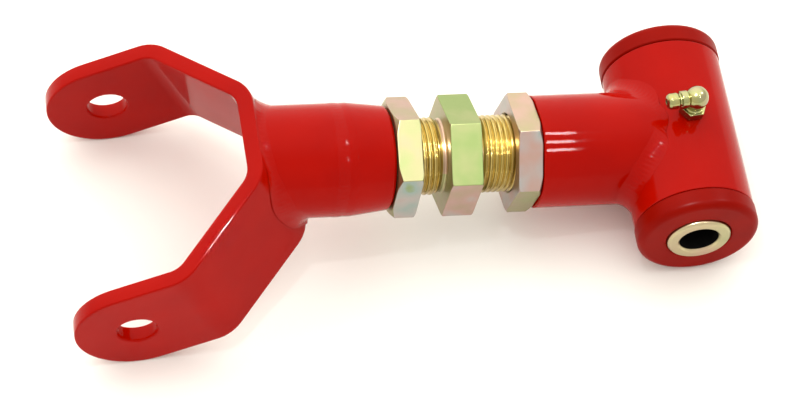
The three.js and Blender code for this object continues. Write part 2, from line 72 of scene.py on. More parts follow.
# ---- sizes taken from the frame ----------------------------------------------------------------------------
TUBE_RADIUS = extent("stub_tube")[1].y
STUB_END = extent("stub_tube")[0].x
SHELL_RADIUS = extent("bushing_shell")[1].x
SHELL_HALF = extent("bushing_shell")[1].y
FLANGE_RADIUS = extent("rear_bushing_half")[1].x
FLANGE_FACE = extent("rear_bushing_half")[1].y
SLEEVE_RADIUS = extent("inner_sleeve")[1].x
SLEEVE_HALF = extent("inner_sleeve")[1].y
RIGHT_NUT = (extent("right_jam_nut")[0].x, extent("right_jam_nut")[1].x)
LEFT_NUT = (extent("left_jam_nut")[0].x, extent("left_jam_nut")[1].x)
STUD = (extent("adjuster_stud")[0].x, extent("adjuster_stud")[1].x)
BUNG = (extent("threaded_bung")[0].x, extent("threaded_bung")[1].x)
SEAM = extent("yoke_tube")[1].x  # where the bung is welded to the yoke tube
EAR_OUTER = extent("yoke_plate")[1].y

# ---- sizes of this arm, in millimetres ---------------------------------------------------------------------
THREAD_RADIUS = 15.2
THREAD_PITCH = 25.4 / 12
THREAD_DEPTH = 1.05
THREAD_ROOT = THREAD_RADIUS - THREAD_DEPTH
HEX_FLATS = 41.3
ADJUSTER_HEX = (-97.7, -85.1)
ADJUSTER_TURN = -0.044  # where a corner stands, from +Z towards +Y
RIGHT_NUT_TURN = -0.218
LEFT_NUT_TURN = 0.075
YOKE_BASE = -160.4
YOKE_TILT = radians(28.7)
YOKE_PLATE = 6.4
YOKE_WIDTH = 48.6
YOKE_RISE = 2.36
YOKE_BASE_HALF = 20.3
YOKE_BEND_RADIUS = 9  # inside
EAR_CORNER_REACH = 36.6
EAR_HOLE_REACH = 66.6
EAR_HOLE_RADIUS = 8
TUBE_WALL = 3.05
SHELL_WALL = 3.2
SLEEVE_BORE_RADIUS = 7.8
BUNG_STRAIGHT = 5.5  # how far from the seam the bung starts to taper
BUNG_NOSE_RADIUS = 19.95
PLATE_EDGE = 0.7  # rounding of the yoke's cut edges
CORNER_ROUND = 0.35  # rounding of a hexagon's corners
MACHINED_EDGE = 0.22  # rounding of a turned piece's edges
THREAD_RUNOUT = 1.7  # plain neck beside the adjuster's hexagon
THREAD_ROOM = 0.15  # between the stud's thread and a tube's bore
NUT_ROOM = 0.1  # between the stud's thread and a nut's bore
SLEEVE_ROOM = 0.1  # between the sleeve and the bushing halves
BARREL_ROOM = 0.3  # between the bushing halves and the shell's bore
FLANGE_ROOM = 0.25  # between the flanges and the shell's ends
BORE_MOUTH = 1  # chamfer where a tube's bore opens
BORE_JOIN = 6  # how deep in a tube's bore its contour starts and ends
WELD_GAP = 0.3  # between welded pieces, hidden by the bead
YOKE_BEAD_LEG = 3.4
SHELL_BEAD_LEG = 5.5
SEAM_BEAD_LEG = 2.6


# ---- mesh making -------------------------------------------------------------------------------------------
def eased(points, radius, steps=3):
    """The polyline with each inner corner rounded, less where a side is short. Its ends stay.

    A point just past each rounding keeps the straight between two corners straight to the eye as well.
    """
    most = 0.3  # of a side that a rounding may take
    hold = 1.5  # where the point past a rounding lies, in roundings
    result = [points[0]]
    for before, here, after in zip(points, points[1:], points[2:]):
        corner, back, ahead = Vector(here), Vector(before) - Vector(here), Vector(after) - Vector(here)
        reach = min(radius, most * back.length, most * ahead.length)
        back_way, ahead_way = back.normalized() * reach, ahead.normalized() * reach
        start, end = corner + back_way, corner + ahead_way
        result.append(tuple(corner + back_way * hold))
        for step in range(steps + 1):
            share = step / steps
            result.append(tuple(start.lerp(corner, share).lerp(corner.lerp(end, share), share)))
        result.append(tuple(corner + ahead_way * hold))
    return result + [points[-1]]


def even_angles(steps):
    return [TURN * step / steps for step in range(steps + 1)]


# where (along, radius) lies round each axis, for an angle's sine and cosine
ROUND_AXIS = {
    "X": lambda along, radius, s, c: (along, radius * s, radius * c),
    "Y": lambda along, radius, s, c: (radius * s, along, radius * c),
    "Z": lambda along, radius, s, c: (radius * c, radius * s, along),
}


def wrapped(contour, angles, axis="X"):
    """A skin round an axis. contour(angle) lists (along, radius), from axis to axis or back to its start.

    An angle runs from +Z towards +Y round X, from +Z towards +X round Y, and from +X towards +Y round Z.
    """
    mesh = bmesh.new()
    rows = []
    for angle in angles:
        s, c = sin(angle), cos(angle)
        places = [ROUND_AXIS[axis](along, radius, s, c) for along, radius in contour(angle)]
        rows.append([mesh.verts.new(place) for place in places])
    for row, following in zip(rows, rows[1:]):
        for i in range(len(row) - 1):
            mesh.faces.new((row[i], row[i + 1], following[i + 1], following[i]))
    return tidy(mesh)


def tidy(mesh):
    """Joins points that meet, drops faces left without area and turns the rest outwards."""
    bmesh.ops.remove_doubles(mesh, verts=mesh.verts, dist=MERGE)
    bmesh.ops.dissolve_degenerate(mesh, edges=mesh.edges, dist=MERGE)
    bmesh.ops.recalc_face_normals(mesh, faces=mesh.faces)
    return mesh


def finish_piece(mesh, name, body, nodes, material, place=None):
    """Makes a named piece of the mesh, puts it in the row frame, and ties it to its body and CAD nodes."""
    mesh.transform(ARM @ (place or Matrix()))
    bmesh.ops.recalc_face_normals(mesh, faces=mesh.faces)  # a place may be mirrored
    for face in mesh.faces:
        face.smooth = True
    for edge in mesh.edges:
        edge.smooth = len(edge.link_faces) == 2 and edge.calc_face_angle(0) < SMOOTH_ANGLE
    data = bpy.data.meshes.new(name)
    mesh.to_mesh(data)
    mesh.free()
    data.materials.append(material)
    piece = bpy.data.objects.new(name, data)
    bpy.context.scene.collection.objects.link(piece)
    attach(piece, body)
    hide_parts(*nodes)
    return piece


# ---- materials ---------------------------------------------------------------------------------------------
def colour(code):
    """A linear colour from an sRGB hex code such as c81e0a."""
    parts = [int(code[i:i + 2], 16) / 255 for i in (0, 2, 4)]
    return (*((p / 12.92 if p <= 0.04045 else ((p + 0.055) / 1.055) ** 2.4) for p in parts), 1)


def add(tree, kind, sockets=None, **settings):
    """Adds a shader node with its settings. Each socket gets a value, or a link from another socket."""
    node = tree.nodes.new("ShaderNode" + kind)
    for name, value in settings.items():
        setattr(node, name, value)
    for name, value in (sockets or {}).items():
        if isinstance(value, bpy.types.NodeSocket):
            tree.links.new(value, node.inputs[name])
        else:
            node.inputs[name].default_value = value
    return node


def new_material(name):
    """An empty material, its node tree, and the socket for its surface."""
    material = bpy.data.materials.new(name)
    material.use_nodes = True
    tree = material.node_tree
    tree.nodes.clear()
    output = add(tree, "OutputMaterial")
    return material, tree, output.inputs["Surface"]


def ramp(tree, factor, stops):
    """A colour ramp through (position, hex code) stops."""
    node = add(tree, "ValToRGB", {"Fac": factor})
    elements = node.color_ramp.elements
    while len(elements) < len(stops):
        elements.new(0.5)
    for element, (position, code) in zip(elements, stops):
        element.position = position
        element.color = colour(code)
    return node.outputs["Color"]


def gloss_powder_coat(name, specular):
    """Polyester powder coat, sprayed on and baked: a thick even red film, glossy with faint orange peel.

    It pools in the hollows of a weld bead, which so glints more than flat metal does: specular says how much.
    """
    material, tree, surface = new_material(name)
    place = add(tree, "TexCoord").outputs["Object"]
    patches = add(tree, "TexNoise", {"Vector": place, "Scale": 40, "Detail": 3})  # 25 mm, uneven film
    red = ramp(tree, patches.outputs["Fac"], [(0.3, "980600"), (0.7, "a20900")])
    peel = add(tree, "TexNoise", {"Vector": place, "Scale": 400, "Detail": 1})  # 2.5 mm orange peel
    grit = add(tree, "TexNoise", {"Vector": place, "Scale": 2500, "Detail": 2})  # 0.4 mm, dust under the film
    height = add(tree, "Math", {
        0: grit.outputs["Fac"],
        1: 0.12,
        2: peel.outputs["Fac"],
    }, operation="MULTIPLY_ADD")
    bump = add(tree, "Bump", {"Height": height.outputs[0], "Distance": 0.00001, "Strength": 0.25})
    gloss = add(tree, "MapRange", {"Value": patches.outputs["Fac"], "To Min": 0.02, "To Max": 0.045})
    shader = add(tree, "BsdfPrincipled", {
        "Base Color": red,
        "Roughness": gloss.outputs["Result"],
        "IOR": 1.5,
        "Specular IOR Level": specular,
        "Normal": bump.outputs["Normal"],
    })
    tree.links.new(shader.outputs["BSDF"], surface)
    return material


def moulded_urethane():
    """Cast polyurethane: a firm rubber, red all through, with the mould's satin skin."""
    material, tree, surface = new_material("moulded_red_polyurethane")
    place = add(tree, "TexCoord").outputs["Object"]
    patches = add(tree, "TexNoise", {"Vector": place, "Scale": 70, "Detail": 4})  # 14 mm
    red = ramp(tree, patches.outputs["Fac"], [(0.3, "7e0700"), (0.7, "880a00")])
    skin = add(tree, "TexNoise", {"Vector": place, "Scale": 1200, "Detail": 3})  # 0.8 mm
    bump = add(tree, "Bump", {"Height": skin.outputs["Fac"], "Distance": 0.00002, "Strength": 0.6})
    satin = add(tree, "MapRange", {"Value": patches.outputs["Fac"], "To Min": 0.3, "To Max": 0.42})
    shader = add(tree, "BsdfPrincipled", {
        "Base Color": red,
        "Roughness": satin.outputs["Result"],
        "IOR": 1.49,
        "Specular IOR Level": 0.04,
        "Normal": bump.outputs["Normal"],
    })
    tree.links.new(shader.outputs["BSDF"], surface)
    return material


def yellow_zinc(name, tints, roughness, tint_size, drift_share=1.0):
    """Machined steel, zinc plated and yellow chromated: a satin pale gold film with rainbow tints that drift.

    A hexagon's faces each took the bath differently, so their own shade is kept with the mesh as "bath".
    tint_size is how far apart the drifting tints lie, in millimetres.
    """
    material, tree, surface = new_material(name)
    place = add(tree, "TexCoord").outputs["Object"]
    tints_per_metre = 1 / (tint_size * MM)
    drift = add(tree, "TexNoise", {"Vector": place, "Scale": tints_per_metre, "Detail": 2, "Roughness": 0.4})
    bath = add(tree, "Attribute", attribute_name="bath")
    shade = add(tree, "Math", {
        0: drift.outputs["Fac"],
        1: drift_share,
        2: bath.outputs["Fac"],
    }, operation="MULTIPLY_ADD")
    tint = ramp(tree, shade.outputs[0], tints)
    tooling = add(tree, "TexNoise", {"Vector": place, "Scale": 700, "Detail": 2})  # about 1.5 mm
    bump = add(tree, "Bump", {"Height": tooling.outputs["Fac"], "Distance": 0.00001, "Strength": 0.1})
    satin = add(tree, "MapRange", {
        "Value": tooling.outputs["Fac"],
        "To Min": roughness - 0.05,
        "To Max": roughness + 0.05,
    })
    shader = add(tree, "BsdfPrincipled", {
        "Base Color": tint,
        "Metallic": 1,
        "Roughness": satin.outputs["Result"],
        "Normal": bump.outputs["Normal"],
    })
    tree.links.new(shader.outputs["BSDF"], surface)
    return material


def painted_shade_in_bore():
    """Painted shade for a deep bore, where little light reaches: nearly black, with a dull shine."""
    material, tree, surface = new_material("painted_shade_in_bore")
    place = add(tree, "TexCoord").outputs["Object"]
    # the noise below makes the painted shade, and its shine, uneven in patches
    film = add(tree, "TexNoise", {"Vector": place, "Scale": 300, "Detail": 2})  # 3 mm
    dark = ramp(tree, film.outputs["Fac"], [(0.35, "040303"), (0.7, "0c0a09")])
    dull = add(tree, "MapRange", {"Value": film.outputs["Fac"], "To Min": 0.45, "To Max": 0.65})
    shader = add(tree, "BsdfPrincipled", {
        "Base Color": dark,
        "Roughness": dull.outputs["Result"],
        "IOR": 1.45,
        "Specular IOR Level": 0.2,
    })
    tree.links.new(shader.outputs["BSDF"], surface)
    return material


def bare_steel():
    """Bright hardened steel, as on the check ball and its spring."""
    material, tree, surface = new_material("bright_steel")
    place = add(tree, "TexCoord").outputs["Object"]
    smear = add(tree, "TexNoise", {"Vector": place, "Scale": 900, "Detail": 2})
    polish = add(tree, "MapRange", {"Value": smear.outputs["Fac"], "To Min": 0.12, "To Max": 0.25})
    shader = add(tree, "BsdfPrincipled", {
        "Base Color": colour("b9bcc0"),
        "Metallic": 1,
        "Roughness": polish.outputs["Result"],
    })
    tree.links.new(shader.outputs["BSDF"], surface)
    return material


RAINBOW = [
    (0.00, "83935c"), (0.14, "8f9766"), (0.30, "99966e"), (0.50, "a3917a"),
    (0.65, "b09187"), (0.80, "a8a09c"), (0.95, "8e9f99"), (1.00, "83935c"),
]
GOLD = [(0.3, "b09a58"), (0.5, "cdb87c"), (0.62, "bda96c"), (0.75, "98834a")]
PALE_GOLD = [(0.3, "bfa08c"), (0.5, "b9ad88"), (0.7, "a8a67c")]
GREEN_GOLD = [(0.3, "a3957a"), (0.5, "9a9c6c"), (0.7, "a89f66")]
RAINBOW_DRIFT = 0.7  # how far the tint drifts over one face, as a share of the whole rainbow

powder_coat = gloss_powder_coat("gloss_red_powder_coat", specular=0.065)
bead_coat = gloss_powder_coat("pooled_red_powder_coat", specular=0.085)
urethane = moulded_urethane()
nut_zinc = yellow_zinc("yellow_zinc_on_hexagons", RAINBOW, 0.36, tint_size=11, drift_share=RAINBOW_DRIFT)
thread_zinc = yellow_zinc("yellow_zinc_on_threads", GOLD, 0.22, tint_size=9)
sleeve_zinc = yellow_zinc("yellow_zinc_on_sleeve", PALE_GOLD, 0.3, tint_size=26)
fitting_zinc = yellow_zinc("yellow_zinc_on_grease_fitting", GREEN_GOLD, 0.17, tint_size=6)
bore_shade = painted_shade_in_bore()
steel = bare_steel()


# ---- yoke --------------------------------------------------------------------------------------------------
along_yoke = Vector((-cos(YOKE_TILT), 0, -sin(YOKE_TILT)))
across_yoke = Vector((-sin(YOKE_TILT), 0, cos(YOKE_TILT)))
ON_YOKE = Matrix((along_yoke, (0, 1, 0), across_yoke)).transposed().to_4x4()
ON_YOKE.translation = (YOKE_BASE, 0, 0)

# the strip's middle line: a straight base, a bend, a straight flank and a second bend, on each side to an ear
FLANK = Vector((EAR_CORNER_REACH, EAR_OUTER - YOKE_BASE_HALF))
OUTER_BEND = YOKE_BEND_RADIUS + YOKE_PLATE
MIDDLE_BEND = YOKE_BEND_RADIUS + YOKE_PLATE / 2
EAR_TURN = asin(FLANK.y / FLANK.length)
BASE_TURN = pi / 2 - EAR_TURN
BASE_STRAIGHT = YOKE_BASE_HALF - OUTER_BEND * tan(BASE_TURN / 2)
FLANK_STRAIGHT = FLANK.length - OUTER_BEND * (tan(BASE_TURN / 2) + tan(EAR_TURN / 2))
EAR_STRAIGHT = EAR_HOLE_REACH - EAR_CORNER_REACH - OUTER_BEND * tan(EAR_TURN / 2)  # up to the hole's middle
EAR_STEPS = 64  # round the hole

YOKE_HALF = YOKE_WIDTH / 2
FACE_HALF = YOKE_HALF - PLATE_EDGE  # half the flat between the rounded edges
FACE_HOLD = FACE_HALF - 0.5  # a row of points close inside each edge keeps the flat flat
FACE_ROWS = (FACE_HALF, FACE_HOLD, YOKE_HALF / 2, 0, -YOKE_HALF / 2, -FACE_HOLD, -FACE_HALF)
BOTH_FACES = (YOKE_PLATE / 2, -YOKE_PLATE / 2)


def heading_way(heading):
    return Vector((cos(heading), sin(heading)))


def bent(distance, lift):
    """(u, y) of a point of the strip, by its distance from the base's middle and its lift to the outside."""
    left = abs(distance)
    here = Vector((YOKE_PLATE / 2, 0))
    heading = pi / 2  # from the direction of u towards y
    for straight, turn in ((BASE_STRAIGHT, BASE_TURN), (FLANK_STRAIGHT, EAR_TURN), (inf, 0)):
        step = min(left, straight)
        here += heading_way(heading) * step
        left -= step
        angle = min(left / MIDDLE_BEND, turn)
        centre = here + heading_way(heading - pi / 2) * MIDDLE_BEND
        heading -= angle
        here = centre - heading_way(heading - pi / 2) * MIDDLE_BEND
        left -= angle * MIDDLE_BEND
    here += heading_way(heading + pi / 2) * lift
    return here.x, copysign(here.y, distance)


def strip_columns():
    """Distances along the strip at which it has a row of points: close in the bends, sparse elsewhere."""
    base, flank = (BASE_STRAIGHT, 6), (FLANK_STRAIGHT, 6)
    first_bend, second_bend = (MIDDLE_BEND * BASE_TURN, 12), (MIDDLE_BEND * EAR_TURN, 12)
    columns = [0]
    for length, steps in (base, first_bend, flank, second_bend):
        start = columns[-1]
        columns += [start + length * (i + 1) / steps for i in range(steps)]
    return columns


def edge_section(steps=4):
    """(inset, lift) round the plate's cut edge, from its outside face to its inside face."""
    turns = [pi / 2 - pi / 2 * i / steps for i in range(steps + 1)]
    upper = [(PLATE_EDGE * (1 - cos(a)), YOKE_PLATE / 2 - PLATE_EDGE * (1 - sin(a))) for a in turns]
    return upper + [(inset, -lift) for inset, lift in reversed(upper)]


def faces_between(rows):
    """Four-cornered faces between each row of places and the next."""
    faces = []
    for row, following in zip(rows, rows[1:]):
        faces += zip(row, row[1:], following[1:], following)
    return faces


def ear_outline(turn, inset):
    """(along, across) from an ear's hole to its round end, its straight sides or the line where it starts."""
    c, s = cos(turn), sin(turn)
    reach = YOKE_HALF - inset
    if c < 0:
        reach = min(reach / max(abs(s), 1e-9), EAR_STRAIGHT / -c)
    return reach * c, reach * s


def ear_edge(turn, inset):
    """(along, across) on an ear's cut edge. On the straight sides it keeps level with the flat's outline."""
    if cos(turn) >= 0:
        return ear_outline(turn, inset)
    along, across = ear_outline(turn, PLATE_EDGE)
    return along, copysign(YOKE_HALF - inset, across)


def ear_faces(end, hole_at, section):
    """An ear's two flats, in rings from the hole to the outline, and its cut edges, also in the hole."""
    # turns are seen from the hole's middle
    at_start = [pi - atan(across / EAR_STRAIGHT) for across in FACE_ROWS]
    elsewhere = [turn for turn in even_angles(EAR_STEPS) if abs(turn - pi) > pi - at_start[0] + 0.01]
    turns = sorted({*elsewhere, *at_start})
    above_start = turns[:turns.index(at_start[0]) + 1]
    below_start = turns[turns.index(at_start[-1]):]

    def places(spots, lift):
        return [(end * (hole_at + along), across, lift) for along, across in spots]

    def hole(inset):
        return [Vector((cos(turn), sin(turn))) * (EAR_HOLE_RADIUS + inset) for turn in turns]

    outline = [ear_outline(turn, PLATE_EDGE) for turn in turns]
    rings = []
    for share in (0, 0.04, 0.35, 0.65, 0.96, 1):
        rings.append([near.lerp(far, share) for near, far in zip(hole(PLATE_EDGE), map(Vector, outline))])
    faces = []
    for lift in BOTH_FACES:
        faces += faces_between([places(ring, lift) for ring in rings])
    for stretch in (above_start, below_start):
        edges = [([ear_edge(turn, inset) for turn in stretch], lift) for inset, lift in section]
        faces += faces_between([places(*edge) for edge in edges])
    return faces + faces_between([places(hole(inset), lift) for inset, lift in section])


def bend_strip(faces):
    """A mesh of faces whose corners are places on the flat strip: distance, across and lift."""
    mesh = bmesh.new()
    points = {}
    for face in faces:
        corners = []
        for distance, across, lift in face:
            key = (round(distance, 4), round(across, 4), round(lift, 4))
            if key not in points:
                points[key] = mesh.verts.new((*bent(distance, lift), across + YOKE_RISE))
            if points[key] not in corners:
                corners.append(points[key])
        if len(corners) > 2:
            mesh.faces.new(corners)
    return tidy(mesh)


def make_yoke_plate():
    """Flat strip with full round ends and a hole in each, then bent. Its cut edges are slightly rounded."""
    columns = strip_columns()
    both_ways = [-distance for distance in reversed(columns[1:])] + columns
    section = edge_section()
    faces = []
    for lift in BOTH_FACES:
        faces += faces_between([[(distance, across, lift) for distance in both_ways] for across in FACE_ROWS])
    for side in (1, -1):
        rows = [(side * (YOKE_HALF - inset), lift) for inset, lift in section]
        faces += faces_between([[(distance, *row) for distance in both_ways] for row in rows])
    for end in (1, -1):
        faces += ear_faces(end, columns[-1] + EAR_STRAIGHT, section)
    return bend_strip(faces)


finish_piece(make_yoke_plate(), "yoke", "yoke_end", ["yoke_plate"], powder_coat, ON_YOKE)


def mitre(angle):
    """How far past the yoke's base the tube's outside runs, where the base leans away from square."""
    return YOKE_BASE - TUBE_RADIUS * cos(angle) * tan(YOKE_TILT)


def make_yoke_tube():
    inner = TUBE_RADIUS - TUBE_WALL

    def contour(angle):
        start = mitre(angle) + WELD_GAP
        middle = (start + SEAM) / 2
        return eased([
            (middle, inner), (SEAM, inner), (SEAM, TUBE_RADIUS), (start, TUBE_RADIUS), (start, inner),
            (middle, inner),
        ], 0.2)

    return wrapped(contour, even_angles(FINE))


finish_piece(make_yoke_tube(), "yoke_tube_piece", "yoke_end", ["yoke_tube"], powder_coat)


# ---- weld beads --------------------------------------------------------------------------------------------
def make_bead(joint, leg, hollow, ripple, pitch, restless, crown=0):
    """A weld bead round a joint. joint(angle) gives its root, the two ways along the pieces, and the way out.

    leg is how far the bead reaches along each piece, and restless how much that wanders, as a share.
    hollow is 0 for a straight bead and 1 for one that runs smoothly into both pieces. crown is how high its
    middle stands. ripple is how deep the mark of each puddle is, and pitch how far apart they lie.
    """
    steps = 480
    sides = 10
    wander = 0.16  # how fast the bead wanders, per millimetre
    curve = 0.45  # a puddle freezes in curved marks, this share of a pitch deep
    mesh = bmesh.new()
    rings = []
    length = 0
    previous = None
    for step in range(steps):
        root, first, second, out = joint(TURN * step / steps)
        if previous is not None:
            length += (root - previous).length
        previous = root
        reach = leg * (1 + restless * noise.noise(root * wander))
        ring = [root - out * leg * 0.5]
        for i in range(sides + 1):
            share = i / sides
            lag = curve * pitch * sin(pi * share)
            scallop = 0.5 - 0.5 * cos(TURN * (length + lag) / pitch)
            straight = first * (1 - share) + second * share
            eased_in = first * (1 - share) ** 2 + second * share ** 2
            flat = straight.lerp(eased_in, hollow)
            ring.append(root + flat * reach + out * (crown + ripple * scallop) * sin(pi * share))
        rings.append([mesh.verts.new(spot) for spot in ring])
    for ring, following in zip(rings, rings[1:] + rings[:1]):
        for i in range(len(ring)):
            j = (i + 1) % len(ring)
            mesh.faces.new((ring[i], ring[j], following[j], following[i]))
    return tidy(mesh)


def yoke_joint(angle):
    """Fillet between the yoke tube's outside and the yoke, which bends away at both sides.

    It stays on the plate above. Below, the tube stands past the plate's edge, so the bead fills that corner.
    """
    round_tube = Vector((0, sin(angle), cos(angle)))
    outline = Vector((mitre(angle), 0, 0)) + round_tube * TUBE_RADIUS
    lean = asin(max(abs(outline.y) - BASE_STRAIGHT, 0) / OUTER_BEND)  # how far the plate has bent away here
    side = Vector((0, copysign(1, outline.y), 0))
    base_normal = -along_yoke
    normal = base_normal * cos(lean) + side * sin(lean)
    height = outline.z / cos(YOKE_TILT) - YOKE_RISE  # over the plate's middle line
    over = max(-YOKE_HALF - height, 0)
    drop = OUTER_BEND * (1 - cos(lean)) / cos(YOKE_TILT)
    root = outline + across_yoke * over - Vector((drop, 0, 0))
    on_plate = (round_tube - normal * round_tube.dot(normal)).normalized()
    margin = 0.9  # the bead stops this far inside the plate's upper edge
    least_leg = 0.15  # as a share of the whole leg, where there is no room
    most_leg_below = 0.8
    room = (YOKE_HALF - margin - height) / max(on_plate.dot(across_yoke), 0.01)
    on_plate *= min(1, max(room / YOKE_BEAD_LEG, least_leg))
    share = min(1, over)
    first = Vector((1 + drop / YOKE_BEAD_LEG, 0, 0)) - across_yoke * over / YOKE_BEAD_LEG
    second = on_plate.lerp(-base_normal * most_leg_below, share)
    out = (round_tube + normal).normalized().lerp((-across_yoke - base_normal).normalized(), share)
    return root, first, second, out


def shell_joint(angle):
    """Saddle fillet between the stub tube's outside and the bushing shell's."""
    round_tube = Vector((0, sin(angle), cos(angle)))
    z = TUBE_RADIUS * cos(angle)
    root = Vector((-sqrt(SHELL_RADIUS ** 2 - z ** 2), TUBE_RADIUS * sin(angle), z))
    shell_normal = Vector((root.x, 0, root.z)).normalized()
    away = round_tube - shell_normal * round_tube.dot(shell_normal)
    heading = Vector((-root.z, 0, root.x)) * cos(angle)  # over the shell's top or under its belly
    away = (away + heading * 0.02).normalized()  # above and below, both surfaces run nearly the same way
    return root, Vector((-1, 0, 0)), away, (round_tube + shell_normal).normalized()


def seam_joint(angle):
    """Flat seam between the yoke tube and the bung."""
    round_tube = Vector((0, sin(angle), cos(angle)))
    sink = 0.04  # the bead's edges lie just under the tube's surface
    root = Vector((SEAM + WELD_GAP / 2, 0, 0)) + round_tube * (TUBE_RADIUS - sink)
    return root, Vector((-1, 0, 0)), Vector((1, 0, 0)), round_tube


yoke_bead = make_bead(yoke_joint, YOKE_BEAD_LEG, hollow=0.6, ripple=0.08, pitch=1.9, restless=0.2)
shell_bead = make_bead(shell_joint, SHELL_BEAD_LEG, hollow=0.75, ripple=0.09, pitch=1.9, restless=0.08)
seam_bead = make_bead(seam_joint, SEAM_BEAD_LEG, hollow=0, ripple=0.04, pitch=2.2, restless=0.15, crown=0.15)
finish_piece(yoke_bead, "yoke_weld_bead", "yoke_end", ["yoke_weld"], bead_coat)
finish_piece(shell_bead, "shell_weld_bead", "bushing_end", ["shell_weld"], bead_coat)
finish_piece(seam_bead, "bung_weld_bead", "yoke_end", ["bung_weld"], bead_coat)


# ---- bung, nuts and adjuster -------------------------------------------------------------------------------
def make_bung():
    """A plug in the tube's end, turned down to a nose round the threaded bore."""
    bore = THREAD_RADIUS + THREAD_ROOM
    inner = TUBE_RADIUS - TUBE_WALL - WELD_GAP
    tail, nose = BUNG
    return wrapped(lambda angle: eased([
        (nose - BORE_JOIN, bore), (nose - BORE_MOUTH, bore), (nose, bore + BORE_MOUTH),
        (nose, BUNG_NOSE_RADIUS - 0.6), (nose - 1.1, BUNG_NOSE_RADIUS + 0.5),
        (SEAM + BUNG_STRAIGHT, TUBE_RADIUS), (SEAM + WELD_GAP, TUBE_RADIUS),
        (SEAM + WELD_GAP, inner), (tail, inner), (tail, bore), (nose - BORE_JOIN, bore),
    ], CORNER_ROUND), even_angles(FINE))


finish_piece(make_bung(), "bung", "yoke_end", ["threaded_bung"], powder_coat)

# each hexagon's shades, from the upper rear face round towards the rear, then its two ends
LEFT_NUT_BATH = (0.50, 0.20, 0.70, 0.40, 0.88, 0.27, 0.30)
ADJUSTER_BATH = (0.03, 0.30, 0.55, 0.75, 0.63, 0.07, 0.34)
RIGHT_NUT_BATH = (0.48, 0.35, 0.10, 0.60, 0.33, 0.78, 0.70)


def dip(piece, turn, bath):
    """Keeps on each face of a hexagon the shade that the chromate bath gave it."""
    shades = piece.data.attributes.new("bath", "FLOAT", "FACE").data
    for polygon, shade in zip(piece.data.polygons, shades):
        centre = FROM_ROW @ polygon.center
        normal = FROM_ROW.to_3x3() @ polygon.normal
        side = int(((atan2(centre.y, centre.z) - turn) % TURN) // (pi / 3)) % 6
        if abs(normal.x) > abs(normal.y) + abs(normal.z):
            side = -1  # an end
        shade.value = bath[side] - RAINBOW_DRIFT / 2


def hexagon_reach(angle, turn, flats=HEX_FLATS, corner_round=CORNER_ROUND):
    """Distance from the axis to a hexagon's outline with rounded corners."""
    off_flat = (angle - turn) % (pi / 3) - pi / 6
    inner = flats / 2 - corner_round
    if abs(off_flat) <= atan(inner * tan(pi / 6) / (flats / 2)):
        return flats / 2 / cos(off_flat)
    off_corner = pi / 6 - abs(off_flat)
    centre = inner / cos(pi / 6)
    return centre * cos(off_corner) + sqrt(corner_round ** 2 - (centre * sin(off_corner)) ** 2)


def hexagon_angles(turn, per_side=18):
    """Angles that follow a hexagon: close at its corners."""
    near_corner = [radians(a) for a in (-1, -0.6, -0.2, 0.2, 0.6, 1)]
    clear = radians(2.5)  # between a corner and its side's first angle
    side = [clear + (pi / 3 - 2 * clear) * i / per_side for i in range(per_side + 1)]
    angles = {(turn + k * pi / 3 + a) % TURN for k in range(6) for a in near_corner + side}
    return sorted(angles | {0, TURN})


def hexagon_contour(start, end, reach, face_radius, edge=0.25):
    """(along, radius) over a hexagon's outside, its corners turned down beyond face_radius at each end."""
    contour = []
    for face, way, limit in ((start, 1, face_radius[0]), (end, -1, face_radius[1])):
        cut = max(edge, (reach - limit) * tan(pi / 6))
        pair = [(face, min(limit, reach - edge)), (face + way * cut, reach)]
        contour += pair if way > 0 else pair[::-1]
    return contour


def make_jam_nut(span, turn, face_radius):
    """A hexagon with a threaded bore. face_radius says how far each end's corners are turned down."""
    bore = THREAD_RADIUS + NUT_ROOM
    mouth = 0.7
    start, end = span
    middle = (start + end) / 2

    def contour(angle):
        outside = hexagon_contour(start, end, hexagon_reach(angle, turn), face_radius)
        return eased([
            (middle, bore), (start + mouth, bore), (start, bore + mouth), *outside, (end, bore + mouth),
            (end - mouth, bore), (middle, bore),
        ], MACHINED_EDGE)

    return wrapped(contour, hexagon_angles(turn))


# how wide a hexagon's end face is left where its corners are turned down
corner_radius = HEX_FLATS / sqrt(3)
well_turned_down = corner_radius - 2.6
barely_turned_down = corner_radius - 1.2
slightly_turned_down = corner_radius - 0.9
left_nut = make_jam_nut(LEFT_NUT, LEFT_NUT_TURN, (well_turned_down, barely_turned_down))
right_nut = make_jam_nut(RIGHT_NUT, RIGHT_NUT_TURN, (barely_turned_down, well_turned_down))
left = finish_piece(left_nut, "left_nut_piece", "left_nut", ["left_jam_nut"], nut_zinc)
right = finish_piece(right_nut, "right_nut_piece", "right_nut", ["right_jam_nut"], nut_zinc)
dip(left, LEFT_NUT_TURN, LEFT_NUT_BATH)
dip(right, RIGHT_NUT_TURN, RIGHT_NUT_BATH)


def thread_rows(start, end, hand, angle):
    """(along, radius) of a helical thread's section at an angle, from start to end, running out at both."""
    shape = ((0, 0), (0.1, 0), (0.18, 0.15), (0.36, 0.88), (0.44, 1), (0.7, 1), (0.78, 0.88), (0.94, 0.15))
    turns = int((end - start) / THREAD_PITCH) + 3
    runout = 0.8 * THREAD_PITCH
    rows = []
    for k in range(-1, turns):
        for share, height in shape:
            along = start + (k + share + hand * angle / TURN) * THREAD_PITCH
            along = min(max(along, start), end)
            fade = min(1, (along - start) / runout, (end - along) / runout)
            rows.append((along, THREAD_ROOT + height * THREAD_DEPTH * fade))
    return rows


